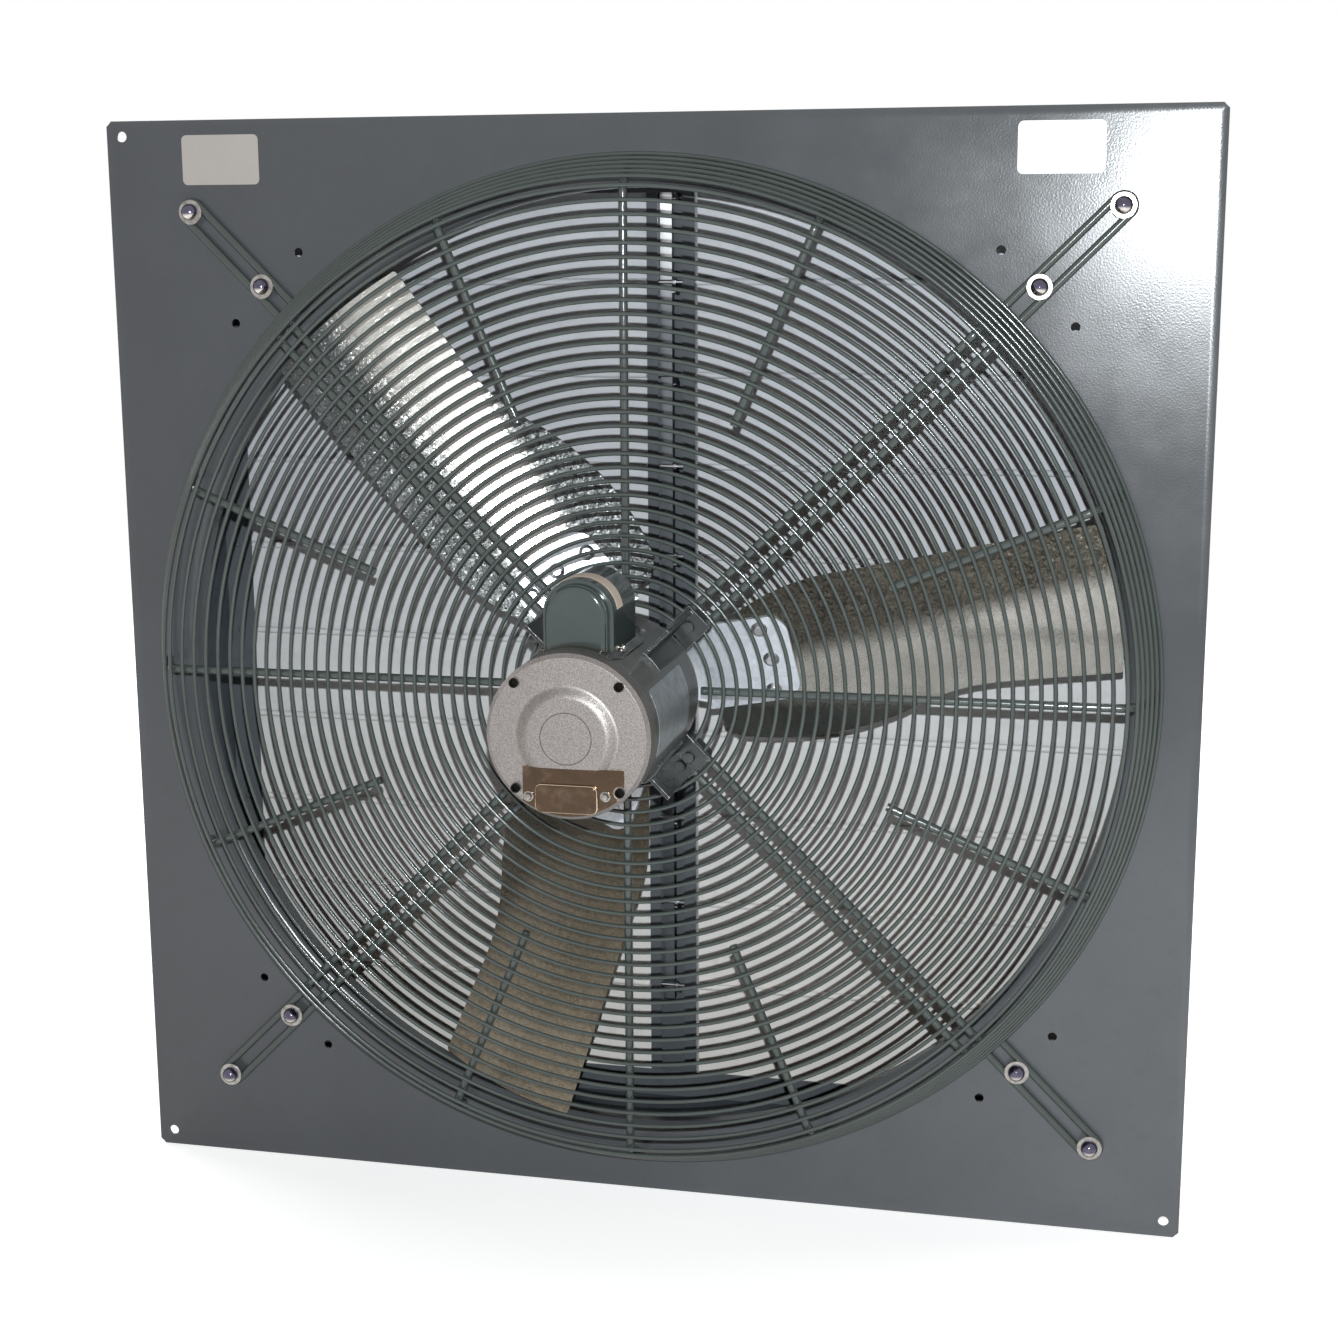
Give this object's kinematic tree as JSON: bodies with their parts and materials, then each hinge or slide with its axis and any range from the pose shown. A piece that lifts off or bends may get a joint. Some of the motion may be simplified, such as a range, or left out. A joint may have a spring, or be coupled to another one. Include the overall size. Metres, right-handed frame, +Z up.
{
  "type": "wall exhaust fan",
  "caption": "Square-panel propeller exhaust fan with a dished wire guard carrying the motor, a round throat, a wall sleeve and a gravity shutter.",
  "frame": {"origin": "centre of the square panel on its mounting face, on the propeller axis", "axes": "+Z up, +X across to the right as seen from the motor side, +Y along the air flow, out through the shutter"},
  "size_m": [1.058, 0.4585, 1.058],
  "materials": {
    "panel_paint": "semi-gloss grey enamel with slight orange peel",
    "sleeve_paint": "dark grey painted sheet",
    "frame_paint": "blue-grey painted sheet",
    "guard_paint": "grey-green enamel on wire",
    "bright_steel": "bright zinc plate",
    "motor_paint": "dark grey-olive gloss enamel",
    "cast_aluminium": "satin machined casting",
    "black_steel": "black oxide",
    "core_steel": "bare laminations",
    "copper_wire": "varnished copper",
    "bearing_steel": "ground steel",
    "capacitor_case": "drawn can",
    "strap_plastic": "pale beige enamel",
    "hub_iron": "machined casting",
    "zinc_plate": "pale zinc plate",
    "galvanised_sheet": "galvanised with spangle",
    "shutter_sheet": "mill-finish sheet"
  },
  "bodies": {
    "housing": {"fan_panel": "panel_paint", "sleeve_top": "sleeve_paint", "sleeve_bottom": "sleeve_paint", "sleeve_left": "sleeve_paint", "sleeve_right": "sleeve_paint", "shutter_head": "frame_paint", "shutter_sill": "frame_paint", "shutter_jamb_left": "frame_paint", "shutter_jamb_right": "frame_paint", "shutter_mullion": "frame_paint", "guard_front_rings": "guard_paint", "guard_side_rings": "guard_paint", "guard_long_spokes": "guard_paint", "guard_short_spokes": "guard_paint", "guard_legs": "guard_paint", "guard_pads": "guard_paint", "guard_washers": "bright_steel", "guard_bolts": "bright_steel", "clamp_bolts": "bright_steel", "motor_shell": "motor_paint", "motor_brackets": "motor_paint", "capacitor_cover": "motor_paint", "motor_rear_bell": "cast_aluminium", "motor_drive_bell": "cast_aluminium", "motor_through_bolts": "black_steel", "terminal_cover": "bright_steel", "stator_core": "core_steel", "stator_windings": "copper_wire", "motor_bearings": "bearing_steel", "start_capacitor": "capacitor_case", "capacitor_strap": "strap_plastic"},
    "propeller": {"motor_shaft": "bearing_steel", "rotor_core": "core_steel", "propeller_hub": "hub_iron", "propeller_spider": "zinc_plate", "propeller_blade_1": "galvanised_sheet", "propeller_blade_2": "galvanised_sheet", "propeller_blade_3": "galvanised_sheet", "blade_rivets": "bright_steel"},
    "shutter_row_01": {"shutter_blades_01": "shutter_sheet", "shutter_pivot_01": "bearing_steel"},
    "shutter_row_02": {"shutter_blades_02": "shutter_sheet", "shutter_pivot_02": "bearing_steel"},
    "shutter_row_03": {"shutter_blades_03": "shutter_sheet", "shutter_pivot_03": "bearing_steel"},
    "shutter_row_04": {"shutter_blades_04": "shutter_sheet", "shutter_pivot_04": "bearing_steel"},
    "shutter_row_05": {"shutter_blades_05": "shutter_sheet", "shutter_pivot_05": "bearing_steel"},
    "shutter_row_06": {"shutter_blades_06": "shutter_sheet", "shutter_pivot_06": "bearing_steel"},
    "shutter_row_07": {"shutter_blades_07": "shutter_sheet", "shutter_pivot_07": "bearing_steel"},
    "shutter_row_08": {"shutter_blades_08": "shutter_sheet", "shutter_pivot_08": "bearing_steel"},
    "shutter_row_09": {"shutter_blades_09": "shutter_sheet", "shutter_pivot_09": "bearing_steel"},
    "shutter_row_10": {"shutter_blades_10": "shutter_sheet", "shutter_pivot_10": "bearing_steel"},
    "tie_bar": {"shutter_tie_bar": "shutter_sheet"}
  },
  "joints": [
    {"name": "propeller_spin", "type": "hinge", "parent": "housing", "child": "propeller", "pos_m": [0, 0, 0], "axis": [0, 1, 0], "continuous": true},
    {"name": "row_01_swing", "type": "hinge", "parent": "housing", "child": "shutter_row_01", "pos_m": [0, 0.1445, 0.4652], "axis": [1, 0, 0], "range_deg": [0, 75]},
    {"name": "row_02_swing", "type": "hinge", "parent": "housing", "child": "shutter_row_02", "pos_m": [0, 0.1445, 0.373], "axis": [1, 0, 0], "range_deg": [0, 75]},
    {"name": "row_03_swing", "type": "hinge", "parent": "housing", "child": "shutter_row_03", "pos_m": [0, 0.1445, 0.2808], "axis": [1, 0, 0], "range_deg": [0, 75]},
    {"name": "row_04_swing", "type": "hinge", "parent": "housing", "child": "shutter_row_04", "pos_m": [0, 0.1445, 0.1886], "axis": [1, 0, 0], "range_deg": [0, 75]},
    {"name": "row_05_swing", "type": "hinge", "parent": "housing", "child": "shutter_row_05", "pos_m": [0, 0.1445, 0.0964], "axis": [1, 0, 0], "range_deg": [0, 75]},
    {"name": "row_06_swing", "type": "hinge", "parent": "housing", "child": "shutter_row_06", "pos_m": [0, 0.1445, 0.0042], "axis": [1, 0, 0], "range_deg": [0, 75]},
    {"name": "row_07_swing", "type": "hinge", "parent": "housing", "child": "shutter_row_07", "pos_m": [0, 0.1445, -0.088], "axis": [1, 0, 0], "range_deg": [0, 75]},
    {"name": "row_08_swing", "type": "hinge", "parent": "housing", "child": "shutter_row_08", "pos_m": [0, 0.1445, -0.1802], "axis": [1, 0, 0], "range_deg": [0, 75]},
    {"name": "row_09_swing", "type": "hinge", "parent": "housing", "child": "shutter_row_09", "pos_m": [0, 0.1445, -0.2724], "axis": [1, 0, 0], "range_deg": [0, 75]},
    {"name": "row_10_swing", "type": "hinge", "parent": "housing", "child": "shutter_row_10", "pos_m": [0, 0.1445, -0.3646], "axis": [1, 0, 0], "range_deg": [0, 75]},
    {"name": "tie_bar_swing", "type": "hinge", "parent": "shutter_row_01", "child": "tie_bar", "pos_m": [0, 0.15799, 0.45485], "axis": [1, 0, 0], "range_deg": [-75, 0]}
  ],
  "couplings": [
    {"joint": "row_02_swing", "follows": "row_01_swing", "ratio": 1},
    {"joint": "row_03_swing", "follows": "row_01_swing", "ratio": 1},
    {"joint": "row_04_swing", "follows": "row_01_swing", "ratio": 1},
    {"joint": "row_05_swing", "follows": "row_01_swing", "ratio": 1},
    {"joint": "row_06_swing", "follows": "row_01_swing", "ratio": 1},
    {"joint": "row_07_swing", "follows": "row_01_swing", "ratio": 1},
    {"joint": "row_08_swing", "follows": "row_01_swing", "ratio": 1},
    {"joint": "row_09_swing", "follows": "row_01_swing", "ratio": 1},
    {"joint": "row_10_swing", "follows": "row_01_swing", "ratio": 1},
    {"joint": "tie_bar_swing", "follows": "row_01_swing", "ratio": -1}
  ]
}
